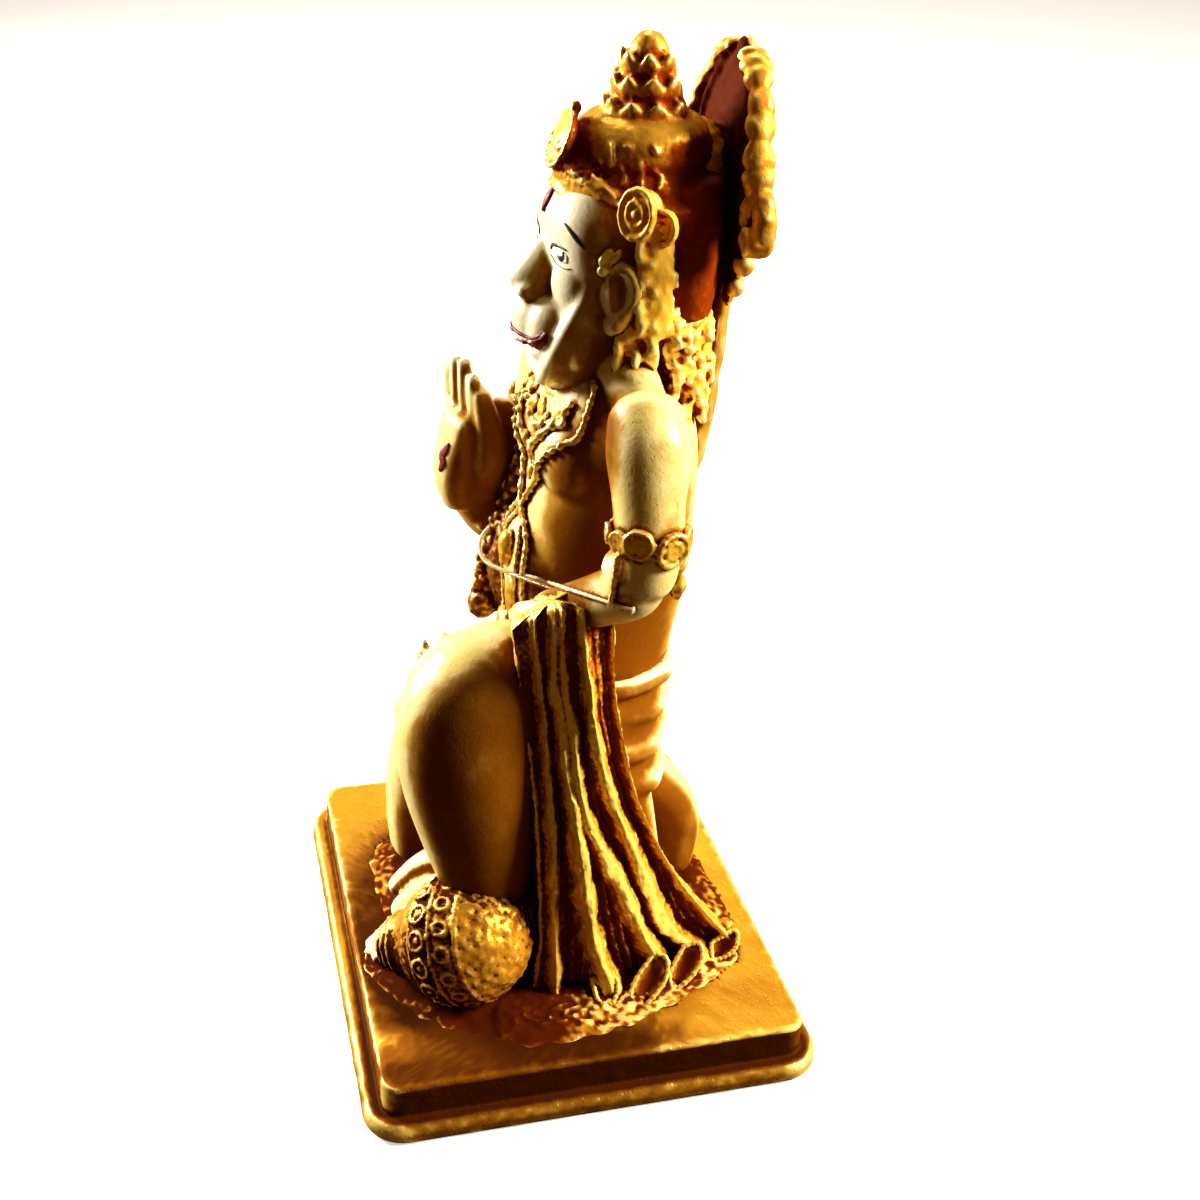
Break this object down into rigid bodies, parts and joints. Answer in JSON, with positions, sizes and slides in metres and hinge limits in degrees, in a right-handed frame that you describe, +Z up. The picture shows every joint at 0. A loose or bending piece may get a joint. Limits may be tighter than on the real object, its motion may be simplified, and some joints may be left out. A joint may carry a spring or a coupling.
{
  "type": "cast figure on plinth",
  "caption": "Painted cast Hanuman, half kneeling with one hand raised in blessing and a mace at his foot, on a stepped rectangular plinth.",
  "frame": {"origin": "middle of the plinth's flat underside", "axes": "+Z up, the figure faces -Y and its left side is +X"},
  "size_m": [0.139, 0.119, 0.2505],
  "materials": {
    "plinth_paint": "brushed gold paint with a brown wash over a solid casting",
    "figure_paint": "gloss ivory and gold paint with a brown wash over a solid casting",
    "thread": "metallic gold thread"
  },
  "bodies": {
    "root": {"plinth": "plinth_paint", "figure": "figure_paint", "waist_thread": "thread"}
  },
  "joints": []
}
